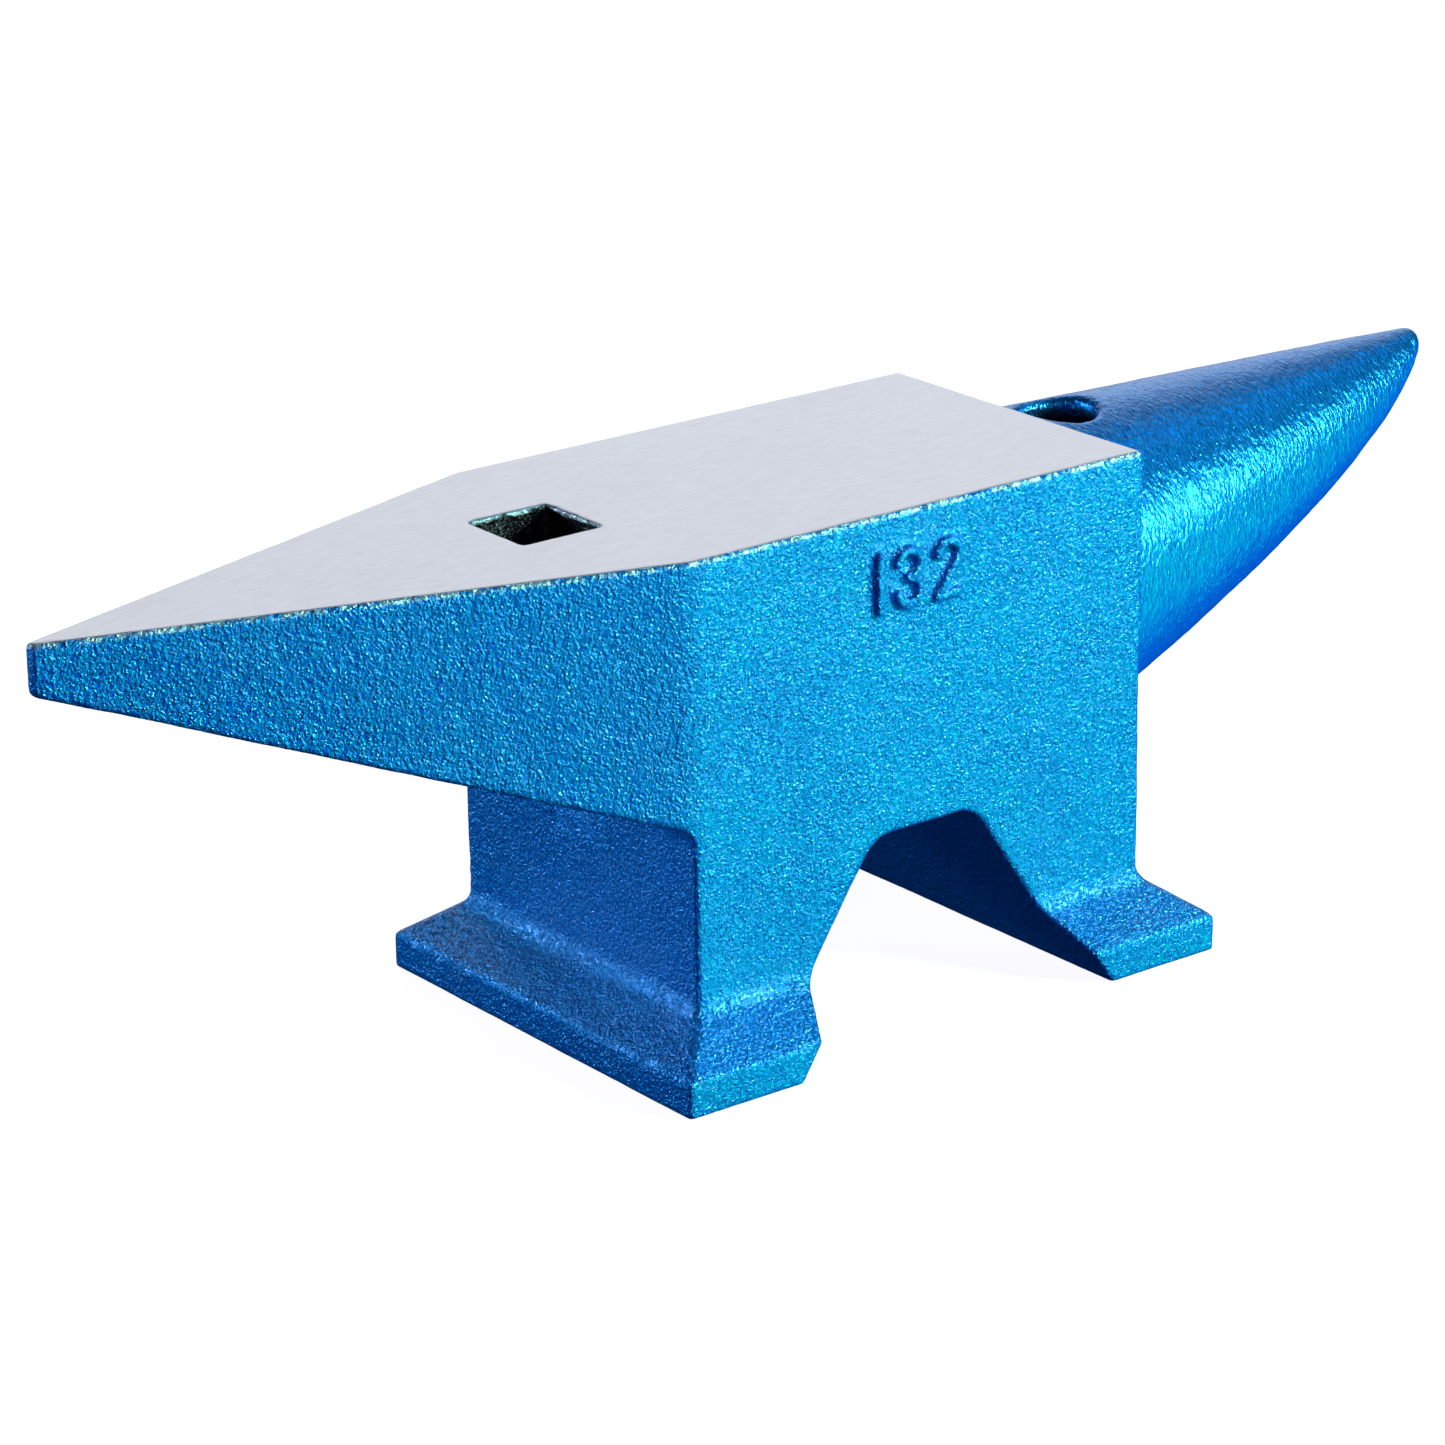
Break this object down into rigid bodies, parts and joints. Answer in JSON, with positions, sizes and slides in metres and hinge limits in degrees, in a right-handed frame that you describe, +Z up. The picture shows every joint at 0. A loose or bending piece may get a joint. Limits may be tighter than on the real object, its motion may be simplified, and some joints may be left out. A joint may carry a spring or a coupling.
{
  "type": "anvil",
  "caption": "Cast steel two-horn anvil with a round horn, a tapering flat square horn, a ground face, square and round holes and an arched base on two flared feet.",
  "frame": {"origin": "floor level, in the middle of the anvil's whole length and width", "axes": "+X along the anvil towards the round horn's tip, +Y across it away from the side with the raised number, +Z up"},
  "size_m": [0.646, 0.187, 0.198],
  "materials": {
    "blue_paint": "metallic blue paint over rough cast steel",
    "ground_steel": "ground along the anvil's length"
  },
  "bodies": {
    "root": {"face_plate": "ground_steel", "body": "blue_paint", "heel": "blue_paint", "horn": "blue_paint", "heel_side_foot": "blue_paint", "horn_side_foot": "blue_paint", "weight_mark": "blue_paint"}
  },
  "joints": []
}
